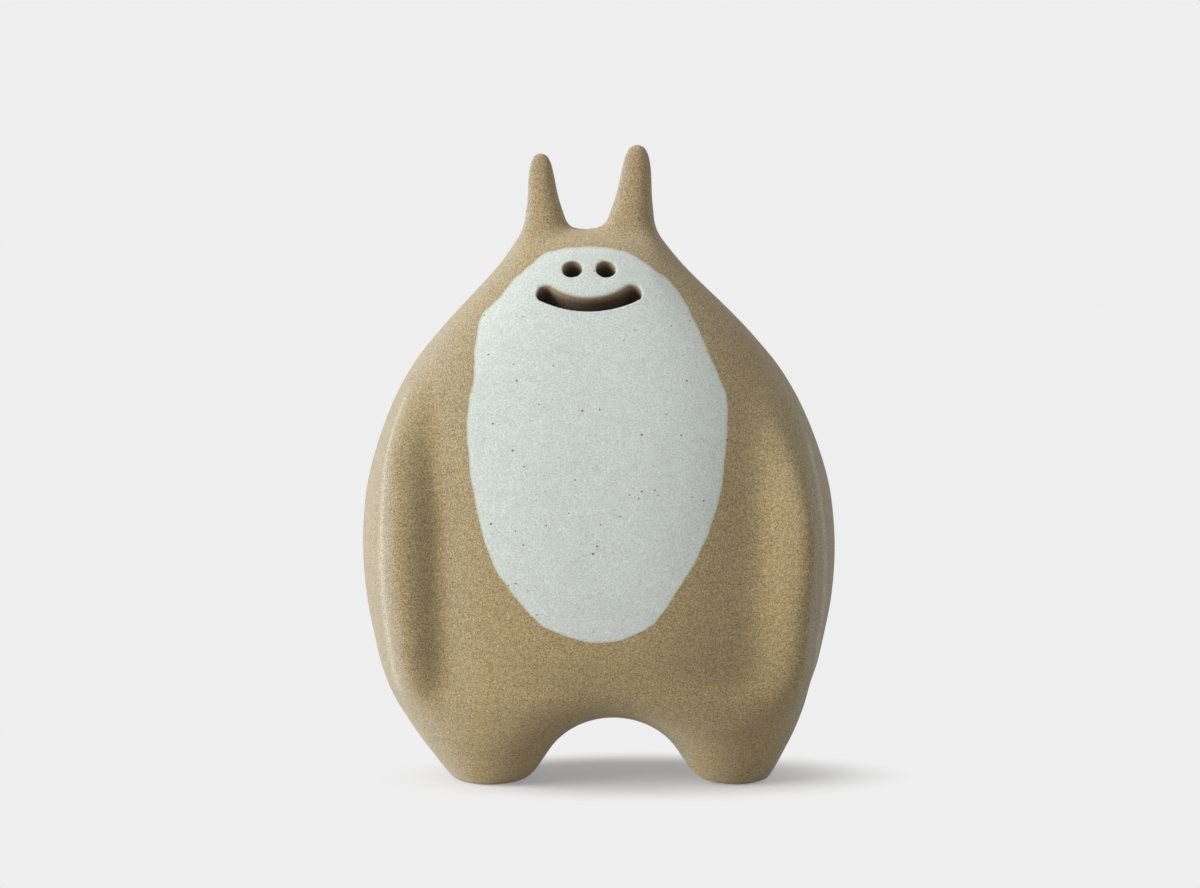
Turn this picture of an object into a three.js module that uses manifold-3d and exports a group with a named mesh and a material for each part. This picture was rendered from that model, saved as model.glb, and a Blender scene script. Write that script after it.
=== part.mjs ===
// A hollow stoneware figurine: an egg-shaped creature with two horns, arms pressed along its sides, two
// stub legs and a pale panel of white slip that carries its pierced eyes and mouth.
// It is put together as a hand-builder does it. Two half shells close to a hollow torso, the horns, arms
// and legs are luted on to it, and the slip panel lies flush in a shallow bed in the front shell.
// Millimetres, +Z up. The figure faces -Y and stands on Z = 0. Left and right are the viewer's.

import * as THREE from 'three';
import { LoftGeometry } from 'three/addons/geometries/LoftGeometry.js';
import { mergeVertices } from 'three/addons/utils/BufferGeometryUtils.js';
import Module from 'manifold-3d';

// Driving dimensions

const jointGap = 0.3; // slip film between two luted pieces
const wall = 5; // shell wall of the torso
const seamY = 3; // plane where the front and back shells meet

// Torso. The profile gives shares of its height, and of its half width and half depth there.
const archHeight = 17.4; // top of the arch between the legs, where the torso's underside is
const torsoHeight = 112.3;
const torsoWidth = 96.8;
const torsoDepth = 76;
const torsoProfile = [
  { at: 0, width: 0, front: 0, back: 0 },
  { at: 0.0116, width: 0.54, front: 0.51, back: 0.5 },
  { at: 0.0233, width: 0.707, front: 0.66, back: 0.65 },
  { at: 0.0448, width: 0.837, front: 0.765, back: 0.75 },
  { at: 0.0713, width: 0.913, front: 0.825, back: 0.81 },
  { at: 0.1431, width: 0.975, front: 0.915, back: 0.91 },
  { at: 0.2415, width: 0.996, front: 0.977, back: 0.979 },
  { at: 0.3583, width: 1, front: 1, back: 1 },
  { at: 0.5018, width: 0.988, front: 0.976, back: 0.982 },
  { at: 0.6269, width: 0.95, front: 0.911, back: 0.916 },
  { at: 0.7252, width: 0.866, front: 0.821, back: 0.816 },
  { at: 0.8053, width: 0.711, front: 0.718, back: 0.703 },
  { at: 0.877, width: 0.541, front: 0.589, back: 0.568 },
  { at: 0.9313, width: 0.415, front: 0.466, back: 0.442 },
  { at: 0.9713, width: 0.298, front: 0.332, back: 0.316 },
  { at: 1, width: 0, front: 0, back: 0 },
];
const torsoSquareness = 2.38; // exponent of the superelliptic cross-section, 2 is an ellipse
const leanHeight = 40; // height where the torso's middle line begins to bend
const crownShift = -2.1; // sideways shift of the middle line at the crown

// Arms. The profile runs from the hand to the shoulder, in shares of an arm's reach, ridge inset and depth.
const armStandOut = 7; // how far an arm stands out from the torso's side
const armFront = 32; // foremost line of an arm before the torso's middle
const armBack = 23; // its back behind the torso's middle
const handHeight = 17; // the hand's end above the table
const shoulderDrop = 30.7; // the shoulder's end below the crown
const ridgeInset = 6.2; // the ridge along an arm's front stands this far in from its outer side
const frontInset = 4.1; // the foremost line stands this far in from the ridge
const outerRoll = 4.8; // radius of the front beside the ridge
const innerRoll = 7.4; // radius of the front towards the belly
const backRoll = 8; // radius of the back
const armRoot = 14; // an arm reaches this far in from its foremost line
const armProfile = [
  { at: 0, reach: 0.79, inset: 0.67, depth: 0.44 },
  { at: 0.049, reach: 0.867, inset: 0.74, depth: 0.62 },
  { at: 0.094, reach: 0.908, inset: 0.79, depth: 0.735 },
  { at: 0.137, reach: 0.93, inset: 0.8, depth: 0.8 },
  { at: 0.18, reach: 0.941, inset: 0.81, depth: 0.845 },
  { at: 0.223, reach: 0.957, inset: 0.87, depth: 0.895 },
  { at: 0.31, reach: 0.982, inset: 1, depth: 0.947 },
  { at: 0.396, reach: 0.996, inset: 1.02, depth: 0.99 },
  { at: 0.483, reach: 1, inset: 1, depth: 1 },
  { at: 0.57, reach: 0.993, inset: 0.95, depth: 0.997 },
  { at: 0.656, reach: 0.975, inset: 0.82, depth: 0.975 },
  { at: 0.743, reach: 0.94, inset: 0.54, depth: 0.921 },
  { at: 0.829, reach: 0.893, inset: 0.39, depth: 0.832 },
  { at: 0.916, reach: 0.826, inset: 0.28, depth: 0.671 },
  { at: 1, reach: 0.725, inset: 0.2, depth: 0.405 },
];

// Legs. Both are cut from one skirt that narrows to the soles. The profile runs from the soles to the root
// inside the torso, in shares of the way from the soles' width and depth to the hips'.
const soleWidth = 74.4; // across both soles
const soleDepth = 36;
const soleShift = 2.8; // sideways shift of the soles
const soleShiftHeight = 24; // height where that shift has died away
const footRound = 1.5; // rounded edge of the soles
const hipWidth = 96.6;
const hipDepth = 63.6;
const legSquareness = 2.3;
const legRootRise = 18; // the root's end above the torso's underside
const archX = 3.3; // sideways place of the arch between the legs
const archFlare = 5.5; // how much the arch widens at its front and back
const archFlareDepth = 30; // distance from the middle at which it is that much wider
const archParting = 5; // the legs' thin upper ends stop this far from the arch's middle
const legProfile = [
  { at: 0, width: 0, depth: 0 },
  { at: 0.095, width: 0.207, depth: 0.217 },
  { at: 0.193, width: 0.405, depth: 0.399 },
  { at: 0.294, width: 0.604, depth: 0.565 },
  { at: 0.392, width: 0.775, depth: 0.71 },
  { at: 0.493, width: 0.919, depth: 0.841 },
  { at: 0.588, width: 1, depth: 0.942 },
  { at: 0.692, width: 0.991, depth: 1 },
  { at: 0.784, width: 0.838, depth: 0.978 },
  { at: 0.896, width: 0.432, depth: 0.761 },
  { at: 1, width: -0.288, depth: 0.29 },
];

// Horns. Each grows square out of the crown and bends upright.
const leftHorn = { rootX: -11.6, tipX: -13.6, rise: 17.8, tipRadius: 2.2, rootRadius: 4.7 };
const rightHorn = { rootX: 6.5, tipX: 8.9, rise: 19.8, tipRadius: 2.3, rootRadius: 5.9 };
const hornSink = 2; // a horn's root starts this far below the crown
const hornBend = 8; // length over which it bends upright
const flareSize = 3.8; // how much its foot swells
const flareHeight = 4; // height over which the swelling dies away

// Slip panel. Its hand-painted outline is seen from the front, in shares of its half width and height.
const panelThickness = 0.9;
const panelWidth = 60;
const panelDrop = 3; // the panel's top below the crown
const panelRise = 20.5; // the panel's lower end above the torso's underside
const panelOutline = [
  [-0.07, 1],
  [-0.4, 0.99],
  [-0.547, 0.963],
  [-0.693, 0.912],
  [-0.807, 0.862],
  [-0.923, 0.812],
  [-0.963, 0.715],
  [-1.007, 0.577],
  [-0.99, 0.464],
  [-0.913, 0.312],
  [-0.777, 0.184],
  [-0.547, 0.082],
  [-0.35, 0.031],
  [0.007, 0],
  [0.333, 0.032],
  [0.493, 0.084],
  [0.69, 0.186],
  [0.837, 0.288],
  [0.937, 0.414],
  [0.983, 0.577],
  [0.933, 0.664],
  [0.797, 0.766],
  [0.7, 0.839],
  [0.54, 0.913],
  [0.33, 0.965],
  [0.183, 0.991],
];

// Face. The eyes and the mouth are pierced square to the surface.
const faceX = -2.3;
const eyeDrop = 7.35; // the eyes below the crown
const eyeSpacing = 7.8;
const eyeRadius = 2.3;
const mouthDrop = 14.75; // lowest point of the smile's middle line below the crown
const mouthSpan = 24.6;
const mouthBend = 15.8; // radius of the smile's middle line
const mouthHalfHeight = 1.9;

// Fineness of the surfaces
const torsoRings = 22;
const torsoSpokes = 36;
const hollowRings = 14;
const hollowSpokes = 24;
const limbSpokes = 16;
const outerSpokes = 7;
const backSpokes = 5;
const frontSpokes = 8;
const armRings = 16;
const legSpokes = 36;
const legRings = 9;
const archSpokes = 40;
const archRings = 10;
const hornRings = 8;
const holeSides = 16;

// Colours and finishes
const tanClay = { color: 0xa8946e, roughness: 0.92, metalness: 0 };
const whiteSlip = { color: 0xd3d8d1, roughness: 0.8, metalness: 0 };

const torsoTop = archHeight + torsoHeight;
const armReach = torsoWidth / 2 + armStandOut;
const { clamp, degToRad, lerp } = THREE.MathUtils;

const wasm = await Module();
wasm.setup();

// Solids

const solidOf = (geometry) => {
  const bare = new THREE.BufferGeometry().copy(geometry);
  bare.deleteAttribute('normal');
  bare.deleteAttribute('uv');
  const merged = mergeVertices(bare, 1e-4);
  const mesh = new wasm.Mesh({
    numProp: 3,
    vertProperties: merged.attributes.position.array,
    triVerts: new Uint32Array(merged.index.array),
  });
  return new wasm.Manifold(mesh);
};

const meshOf = (name, solid, finish) => {
  const { vertProperties, triVerts } = solid.getMesh();
  const geometry = new THREE.BufferGeometry();
  geometry.setAttribute('position', new THREE.BufferAttribute(vertProperties, 3));
  geometry.setIndex(new THREE.BufferAttribute(triVerts, 1));
  geometry.computeVertexNormals();
  const mesh = new THREE.Mesh(geometry, new THREE.MeshStandardMaterial(finish));
  mesh.name = name;
  return mesh;
};

const loft = (sections) => solidOf(new LoftGeometry(sections, { capStart: true, capEnd: true }));

// Natural cubic spline through [position, value] knots.
function spline(knots) {
  const last = knots.length - 1;
  const step = (i) => knots[i + 1][0] - knots[i][0];
  const slope = (i) => (knots[i + 1][1] - knots[i][1]) / step(i);
  const bend = new Array(last + 1).fill(0);
  const upper = new Array(last + 1).fill(0);
  for (let i = 1; i < last; i++) {
    const pivot = 2 * (step(i - 1) + step(i)) - step(i - 1) * upper[i - 1];
    upper[i] = step(i) / pivot;
    bend[i] = (6 * (slope(i) - slope(i - 1)) - step(i - 1) * bend[i - 1]) / pivot;
  }
  for (let i = last - 1; i > 0; i--) bend[i] -= upper[i] * bend[i + 1];
  return (position) => {
    let i = 0;
    while (i < last - 1 && position > knots[i + 1][0]) i++;
    const width = step(i);
    const a = (knots[i + 1][0] - position) / width;
    const b = 1 - a;
    const curve = ((a ** 3 - a) * bend[i] + (b ** 3 - b) * bend[i + 1]) * (width ** 2 / 6);
    return a * knots[i][1] + b * knots[i + 1][1] + curve;
  };
}

const profileSpline = (profile, key) => spline(profile.map((point) => [point.at, point[key]]));

// Squares are interpolated, so that the torso closes round at its underside and crown.
const torsoSize = (key, size) => {
  const fit = spline(torsoProfile.map((point) => [point.at, point[key] ** 2]));
  return (z) => (size / 2) * Math.sqrt(Math.max(fit((z - archHeight) / torsoHeight), 0));
};
const torsoHalf = torsoSize('width', torsoWidth);
const torsoFront = torsoSize('front', torsoDepth);
const torsoBack = torsoSize('back', torsoDepth);
const middleX = (z) => crownShift * (Math.max(z - leanHeight, 0) / (torsoTop - leanHeight)) ** 2;

// One superelliptic ring, anticlockwise seen from above.
function ring(spokes, centre, halfX, front, back, squareness) {
  return Array.from({ length: spokes }, (_, i) => {
    const angle = (2 * Math.PI * i) / spokes;
    const [c, s] = [Math.cos(angle), Math.sin(angle)];
    const round = (value) => Math.sign(value) * Math.abs(value) ** (2 / squareness);
    const depth = s < 0 ? front : back;
    return new THREE.Vector3(centre.x + halfX * round(c), centre.y + depth * round(s), centre.z);
  });
}

// Torso, grown outwards or, with a negative value, shrunk to the wall of its hollow.
function torsoSolid(grow, rings = torsoRings, spokes = torsoSpokes) {
  const smallestRing = 1;
  const poleStep = 0.35;
  const middle = archHeight + torsoHeight / 2;
  const sections = [];
  for (let i = 0; i <= rings; i++) {
    const along = clamp(i, poleStep, rings - poleStep) / rings;
    const z = middle - (torsoHeight / 2) * Math.cos(Math.PI * along);
    const [half, front, back] = [torsoHalf, torsoFront, torsoBack].map((profile) => profile(z) + grow);
    if (Math.min(half, front, back) < smallestRing) continue;
    const rise = (grow * (z - middle)) / (torsoTop - middle);
    const centre = new THREE.Vector3(middleX(z), 0, z + rise);
    sections.push(ring(spokes, centre, half, front, back, torsoSquareness));
  }
  return loft(sections);
}

// Point on the torso's front, and the direction square to the surface there.
function frontPoint(x, z) {
  const share = Math.abs(x - middleX(z)) / torsoHalf(z);
  const y = -torsoFront(z) * (1 - share ** torsoSquareness) ** (1 / torsoSquareness);
  return new THREE.Vector3(x, y, z);
}

function frontNormal(x, z) {
  const probe = 0.5;
  const across = frontPoint(x + probe, z).sub(frontPoint(x - probe, z));
  const up = frontPoint(x, z + probe).sub(frontPoint(x, z - probe));
  return across.cross(up).normalize();
}

// Point on the crown's ridge above X, and the direction square to it.
function crownPoint(x) {
  let [low, high] = [leanHeight, torsoTop];
  for (let i = 0; i < 40; i++) {
    const z = (low + high) / 2;
    if (torsoHalf(z) > Math.abs(x - middleX(z))) low = z;
    else high = z;
  }
  return new THREE.Vector3(x, 0, low);
}

function crownNormal(x) {
  const probe = 0.5;
  const along = crownPoint(x + probe).sub(crownPoint(x - probe));
  return new THREE.Vector3(-along.z, 0, along.x).normalize();
}

// Arms: an outer side that bows from the ridge to the back, between a rolled front and a rolled back.

const armCurves = ['reach', 'inset', 'depth'].map((key) => profileSpline(armProfile, key));

function armSection(side, along, grow) {
  const [reachShare, insetShare, depthShare] = armCurves.map((curve) => curve(along));
  const z = lerp(handHeight - grow, torsoTop - shoulderDrop + grow, along);
  const reach = armReach * reachShare;
  const inset = ridgeInset * insetShare;
  const front = -armFront * depthShare;
  const back = armBack * depthShare;
  const foremost = reach - inset - frontInset;
  const frontY = (across) => front + across ** 2 / (2 * (across < 0 ? innerRoll : outerRoll));
  const backY = (across) => back - across ** 2 / (2 * backRoll);
  const ridgeY = frontY(frontInset);
  const outerX = (y) => reach - inset * (y / ridgeY) ** 2;

  // The outer side and the back meet at the corner.
  let [low, high] = [0, back];
  for (let i = 0; i < 30; i++) {
    const y = (low + high) / 2;
    if (y < backY(outerX(y) - foremost)) low = y;
    else high = y;
  }
  const corner = outerX(low) - foremost;

  // The root ends before the front and the back cross.
  const smallestRoot = 2;
  const crossing = (back - front - smallestRoot) / (1 / (2 * innerRoll) + 1 / (2 * backRoll));
  const root = -Math.min(armRoot, Math.sqrt(crossing)) - grow;

  const points = [];
  const addPoint = (x, y) => points.push(new THREE.Vector3(middleX(z) + side * x, y, z));
  for (let i = 0; i < outerSpokes; i++) {
    const y = lerp(ridgeY, low, i / (outerSpokes - 1));
    addPoint(outerX(y) + grow, y);
  }
  for (let i = 1; i <= backSpokes; i++) {
    const across = lerp(corner, root, i / backSpokes);
    addPoint(foremost + across, backY(across) + grow);
  }
  for (let i = 0; i < frontSpokes; i++) {
    const across = lerp(root, frontInset, i / frontSpokes);
    addPoint(foremost + across, frontY(across) - grow);
  }
  return side > 0 ? points : points.reverse();
}

function armSolid(side, grow) {
  const sections = [];
  for (let i = 0; i <= armRings; i++) sections.push(armSection(side, i / armRings, grow));
  return loft(sections);
}

// Legs: a skirt under the torso, and the round arch that parts it

function skirtSolid() {
  const widthAt = profileSpline(legProfile, 'width');
  const depthAt = profileSpline(legProfile, 'depth');
  const rootZ = archHeight + legRootRise;
  const heights = [0, 0.15, 0.5].map((share) => share * footRound);
  for (let i = 0; i <= legRings; i++) heights.push(lerp(footRound, rootZ, i / legRings));
  const sections = heights.map((z) => {
    const short = Math.max(footRound - z, 0);
    const round = footRound - Math.sqrt(footRound ** 2 - short ** 2);
    const width = lerp(soleWidth, hipWidth, widthAt(z / rootZ)) / 2 - round;
    const depth = lerp(soleDepth, hipDepth, depthAt(z / rootZ)) / 2 - round;
    const x = soleShift * Math.max(1 - z / soleShiftHeight, 0);
    return ring(legSpokes, new THREE.Vector3(x, 0, z), width, depth, depth, legSquareness);
  });
  return loft(sections);
}

function archCutter() {
  const sections = [];
  for (let i = 0; i <= archRings; i++) {
    const y = lerp(-torsoDepth / 2, torsoDepth / 2, i / archRings);
    const radius = archHeight + archFlare * (Math.abs(y) / archFlareDepth) ** 3;
    sections.push(ring(archSpokes, new THREE.Vector3(0, 0, y), radius, radius, radius, 2));
  }
  return loft(sections).rotate([90, 0, 0]).translate([archX, 0, 0]);
}

// Horns

function hornSolid(horn) {
  const crown = crownPoint(horn.rootX);
  const square = crownNormal(horn.rootX);
  const root = crown.clone().addScaledVector(square, -hornSink);
  const bend = crown.clone().addScaledVector(square, hornBend);
  const tip = new THREE.Vector3(horn.tipX, 0, torsoTop + horn.rise - horn.tipRadius);
  const axis = new THREE.QuadraticBezierCurve3(root, bend, tip);
  const sections = [];
  const addRing = (along, rise, radius) => {
    const tangent = axis.getTangent(along);
    const across = new THREE.Vector3(tangent.z, 0, -tangent.x);
    const centre = axis.getPoint(along).addScaledVector(tangent, rise);
    const points = ring(limbSpokes, new THREE.Vector3(), radius, radius, radius, 2);
    sections.push(points.map((p) => centre.clone().addScaledVector(across, p.x).setY(p.y)));
  };
  for (let i = 0; i <= hornRings; i++) {
    const along = i / hornRings;
    const flare = flareSize * Math.exp(-axis.getPoint(along).distanceTo(root) / flareHeight);
    addRing(along, 0, lerp(horn.rootRadius, horn.tipRadius, along) + flare);
  }
  for (const turn of [30, 60, 80]) {
    const angle = degToRad(turn);
    addRing(1, horn.tipRadius * Math.sin(angle), horn.tipRadius * Math.cos(angle));
  }
  return loft(sections);
}

// Slip panel and the cutters for the face

function panelPrism(inset) {
  const low = archHeight + panelRise;
  const high = torsoTop - panelDrop;
  const corners = panelOutline.map(([x, z]) => new THREE.Vector3((x * panelWidth) / 2, lerp(low, high, z), 0));
  const curve = new THREE.CatmullRomCurve3(corners, true);
  const count = 2 * panelOutline.length;
  const points = [];
  for (let i = 0; i < count; i++) {
    const point = curve.getPoint(i / count);
    const along = curve.getTangent(i / count);
    points.push(new THREE.Vector2(point.x - along.y * inset, point.y + along.x * inset));
  }
  const prism = new THREE.ExtrudeGeometry(new THREE.Shape(points), { depth: torsoDepth, bevelEnabled: false });
  return solidOf(prism.rotateX(Math.PI / 2));
}

function eyeCutter(x) {
  const z = torsoTop - eyeDrop;
  const hole = new THREE.CylinderGeometry(eyeRadius, eyeRadius, 4 * wall, holeSides);
  const upright = new THREE.Vector3(0, 1, 0);
  hole.applyQuaternion(new THREE.Quaternion().setFromUnitVectors(upright, frontNormal(x, z)));
  const place = frontPoint(x, z);
  return solidOf(hole.translate(place.x, place.y, place.z));
}

function mouthCutter() {
  const z = torsoTop - mouthDrop;
  const outward = frontNormal(faceX, z);
  const across = new THREE.Vector3(-outward.y, outward.x, 0).normalize();
  const up = outward.clone().cross(across);
  const turn = Math.asin((mouthSpan / 2 - mouthHalfHeight) / mouthBend);
  const down = -Math.PI / 2;
  const end = (sign) => [mouthBend * Math.sin(sign * turn), mouthBend * (1 - Math.cos(turn))];
  const smile = new THREE.Shape();
  smile.absarc(0, mouthBend, mouthBend + mouthHalfHeight, down - turn, down + turn, false);
  smile.absarc(...end(1), mouthHalfHeight, down + turn, down + turn + Math.PI, false);
  smile.absarc(0, mouthBend, mouthBend - mouthHalfHeight, down + turn, down - turn, true);
  smile.absarc(...end(-1), mouthHalfHeight, down - turn + Math.PI, down - turn + 2 * Math.PI, false);
  const slot = new THREE.ExtrudeGeometry(smile, { depth: 4 * wall, bevelEnabled: false, curveSegments: 10 });
  slot.translate(0, 0, -2 * wall);
  const frame = new THREE.Matrix4().makeBasis(across, up, outward);
  frame.setPosition(frontPoint(faceX, z));
  return solidOf(slot.applyMatrix4(frame));
}

function halfSpace(side) {
  const size = 4 * torsoTop;
  const box = new THREE.BoxGeometry(size, size, size);
  return solidOf(box.translate(0, seamY + side * (size / 2 + jointGap / 2), 0));
}

function legSpace(side) {
  const size = 4 * torsoTop;
  const box = new THREE.BoxGeometry(size, size, size);
  return solidOf(box.translate(archX + side * (size / 2 + archParting), 0, 0));
}

// The largest piece of a solid, without the slivers that a cut leaves.
const largest = (solid) => solid.decompose().reduce((a, b) => (b.volume() > a.volume() ? b : a));

// Assembly

const torso = torsoSolid(0);
const torsoClear = torsoSolid(jointGap);
const face = [eyeCutter(faceX - eyeSpacing / 2), eyeCutter(faceX + eyeSpacing / 2), mouthCutter()];
const pierce = (solid) => face.reduce((left, cutter) => left.subtract(cutter), solid);

const shell = torso.subtract(torsoSolid(-wall, hollowRings, hollowSpokes));
const bed = panelPrism(0).subtract(torsoSolid(-panelThickness - jointGap));
const frontShell = pierce(shell.intersect(halfSpace(-1)).subtract(bed));
const backShell = shell.intersect(halfSpace(1));
const panel = pierce(panelPrism(jointGap).intersect(torso).subtract(torsoSolid(-panelThickness)));

const horn = (size) => hornSolid(size).subtract(torsoClear);
const arm = (side) => largest(armSolid(side, 0).subtract(torsoClear));
const legs = skirtSolid().subtract(archCutter()).subtract(torsoClear);
const leg = (side) => largest(legs.intersect(legSpace(side)).subtract(armSolid(side, jointGap)));

const figurine = new THREE.Group();
figurine.add(
  meshOf('front_shell', frontShell, tanClay),
  meshOf('back_shell', backShell, tanClay),
  meshOf('slip_panel', panel, whiteSlip),
  meshOf('left_horn', horn(leftHorn), tanClay),
  meshOf('right_horn', horn(rightHorn), tanClay),
  meshOf('left_arm', arm(-1), tanClay),
  meshOf('right_arm', arm(1), tanClay),
  meshOf('left_leg', leg(-1), tanClay),
  meshOf('right_leg', leg(1), tanClay),
);

export default figurine;
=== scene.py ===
"""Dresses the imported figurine: a blended clay body, its slip panel with iron specks, and the studio stage.

The clay body is modelled as one rule. Each form has a field that is negative inside it, soft joins run the
fields into each other as thumbed clay does, and a fine grid wraps the result. The wrapped body is then cut
into the pieces of the frame, so that the luted joints stay where they are and can't be seen.
"""

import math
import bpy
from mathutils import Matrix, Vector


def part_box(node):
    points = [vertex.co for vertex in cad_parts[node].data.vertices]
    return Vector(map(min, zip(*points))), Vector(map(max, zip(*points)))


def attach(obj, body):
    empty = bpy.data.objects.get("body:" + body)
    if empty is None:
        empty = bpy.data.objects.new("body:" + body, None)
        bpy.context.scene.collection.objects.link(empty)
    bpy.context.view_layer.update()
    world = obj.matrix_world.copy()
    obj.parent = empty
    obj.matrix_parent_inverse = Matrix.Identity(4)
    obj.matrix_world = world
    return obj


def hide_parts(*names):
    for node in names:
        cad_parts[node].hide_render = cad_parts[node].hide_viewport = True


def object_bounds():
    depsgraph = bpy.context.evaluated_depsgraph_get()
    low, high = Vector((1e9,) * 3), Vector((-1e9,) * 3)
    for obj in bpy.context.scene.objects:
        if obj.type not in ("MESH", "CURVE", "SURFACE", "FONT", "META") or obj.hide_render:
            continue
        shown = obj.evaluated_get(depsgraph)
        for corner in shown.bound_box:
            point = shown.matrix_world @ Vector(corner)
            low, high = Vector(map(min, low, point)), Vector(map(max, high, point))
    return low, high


bl_info = {
    "name": "Stoneware Figurine",
    "version": (1, 0, 0),
    "blender": (4, 5, 0),
    "location": "View3D > Sidebar > Figurine",
    "description": "Models the clay, slip and stage of a small stoneware figurine",
    "category": "Object",
}

import bpy
import numpy as np
from bpy.props import FloatProperty, FloatVectorProperty, IntProperty, PointerProperty
from mathutils import Vector

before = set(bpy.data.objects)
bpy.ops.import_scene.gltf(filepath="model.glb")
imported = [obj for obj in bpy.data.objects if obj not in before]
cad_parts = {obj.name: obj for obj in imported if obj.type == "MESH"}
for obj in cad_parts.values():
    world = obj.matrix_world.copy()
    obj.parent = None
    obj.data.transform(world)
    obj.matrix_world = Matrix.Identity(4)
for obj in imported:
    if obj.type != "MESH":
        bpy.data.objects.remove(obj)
cad_box = [list(corner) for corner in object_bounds()]

MM = 0.001
SEAM_Y = (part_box("front_shell")[1].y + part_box("back_shell")[0].y) / 2

# Places well clear of the figure: to any side, and in front of it.
FAR = 1.0
OUT_FRONT = -60 * MM

# Where one softness or finish gives way to another: the start of each change, and its end.
SHOULDER_Z = (63 * MM, 88 * MM)
RIGHT_GROOVE_X = (0, 20 * MM)
RIGHT_GROOVE_Z = (75 * MM, 40 * MM)
GROOVE_Y = (8 * MM, 18 * MM)
ARCH_Y = (4 * MM, 20 * MM)
TOES_OFF_ARCH = (9 * MM, 1 * MM)
FLARE_OFF_FACE = (7 * MM, 16 * MM)
FACE_WALL_DROP = (40 * MM, 25 * MM)
# The paler line along each arm, partly a painted highlight, fades in towards the front between these depths.
WORN_HIGHLIGHT_Y = (-12 * MM, -18 * MM)

# How far arms and horns run on inside the body, and an even guess at the slope of an arm's back.
ARM_TAIL = 4 * MM
HORN_TAIL = 6 * MM
BACK_SLOPE = 0.5

# Walls that a pierced hole goes through, so that it always comes out in the hollow.
HOLE_REACH = 1.4

# Half height of the mouth at its middle, and what its corners add, in shares of the slot's.
MOUTH_MIDDLE = 0.9
MOUTH_CORNERS = 0.2

# Depths that the fine grid covers around the face, and how far below the crown the horns are parted off.
FACE_Y = (-27 * MM, -11 * MM)
HORN_CUT = 20 * MM

# How near the skin a point counts as on it, and how near an arm's faces it counts as on the arm.
ON_SKIN = 0.05 * MM
ON_ARM = 0.6 * MM

# Profiles of the forms

# Shares of the torso's height, half width, front depth and back depth, from the underside to the crown.
TORSO_PROFILE = np.array([
    (0, 0, 0, 0),
    (0.0116, 0.54, 0.51, 0.5),
    (0.0233, 0.707, 0.66, 0.65),
    (0.0448, 0.837, 0.765, 0.75),
    (0.0713, 0.913, 0.825, 0.81),
    (0.1431, 0.975, 0.915, 0.91),
    (0.2415, 0.996, 0.977, 0.979),
    (0.3583, 1, 1, 1),
    (0.5018, 0.988, 0.976, 0.982),
    (0.6269, 0.95, 0.911, 0.916),
    (0.7252, 0.859, 0.821, 0.816),
    (0.8053, 0.714, 0.718, 0.703),
    (0.877, 0.549, 0.589, 0.568),
    (0.9313, 0.415, 0.466, 0.442),
    (0.9713, 0.298, 0.332, 0.316),
    (1, 0, 0, 0),
])

# Shares of an arm's length, reach, ridge inset and front, from the hand to the shoulder.
ARM_PROFILE = np.array([
    (-0.049, 0.68, 0.6, 0.2),
    (0, 0.79, 0.67, 0.44),
    (0.049, 0.864, 0.74, 0.62),
    (0.094, 0.9045, 0.79, 0.735),
    (0.137, 0.9285, 0.8, 0.8),
    (0.18, 0.9435, 0.81, 0.845),
    (0.223, 0.957, 0.87, 0.895),
    (0.31, 0.982, 1, 0.947),
    (0.396, 0.996, 1.02, 0.99),
    (0.483, 1, 1, 1),
    (0.57, 0.993, 0.95, 0.997),
    (0.656, 0.975, 0.82, 0.968),
    (0.743, 0.94, 0.54, 0.9),
    (0.829, 0.893, 0.39, 0.797),
    (0.916, 0.826, 0.28, 0.63),
    (1, 0.725, 0.2, 0.37),
    (1.1, 0.55, 0.15, 0.04),
])

# Shares of the legs' height, and of their way from the soles' width and depth to the hips'.
LEG_PROFILE = np.array([
    (0, 0, 0),
    (0.095, 0.207, 0.217),
    (0.193, 0.405, 0.399),
    (0.294, 0.604, 0.565),
    (0.392, 0.775, 0.71),
    (0.493, 0.919, 0.841),
    (0.588, 1, 0.942),
    (0.692, 0.991, 1),
    (0.784, 0.838, 0.978),
    (0.896, 0.432, 0.761),
    (1, -0.288, 0.29),
])

# Shares of a horn's height and root radius, from the root to the tip.
HORN_PROFILE = np.array([
    (0, 1),
    (0.15, 0.93),
    (0.3, 0.87),
    (0.41, 0.785),
    (0.5, 0.725),
    (0.6, 0.675),
    (0.69, 0.633),
    (0.78, 0.575),
    (0.88, 0.485),
    (0.93, 0.4),
    (0.97, 0.29),
    (1, 0),
])

# Waves of the brush around the slip panel's edge: how many go round it, and where the first begins.
BRUSH_WAVES = ((9, 0.4), (17, 2.1), (31, 4.0), (47, 1.2))

# The slip panel's painted outline seen from the front, in shares of its half width and of its height.
PANEL_OUTLINE = np.array([
    (-0.07, 1),
    (-0.36, 0.99),
    (-0.51, 0.961),
    (-0.66, 0.915),
    (-0.795, 0.862),
    (-0.92, 0.812),
    (-0.955, 0.72),
    (-0.96, 0.67),
    (-1.007, 0.577),
    (-0.99, 0.464),
    (-0.913, 0.312),
    (-0.777, 0.184),
    (-0.547, 0.082),
    (-0.35, 0.031),
    (0.007, 0),
    (0.333, 0.032),
    (0.493, 0.084),
    (0.69, 0.186),
    (0.837, 0.288),
    (0.937, 0.414),
    (0.983, 0.577),
    (0.933, 0.664),
    (0.797, 0.766),
    (0.7, 0.839),
    (0.54, 0.913),
    (0.33, 0.965),
    (0.183, 0.991),
])


def length(name, description, millimetres):
    """A size given in millimetres and kept in metres."""
    return FloatProperty(
        name=name, description=description, default=millimetres * MM, subtype="DISTANCE", unit="LENGTH"
    )


def rotation(name, description, degrees):
    """An angle, shown in degrees."""
    return FloatProperty(
        name=name, description=description, default=math.radians(degrees), subtype="ANGLE"
    )


def number(name, description, default):
    """A number without a unit, or with one that its description names."""
    return FloatProperty(name=name, description=description, default=default)


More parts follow.
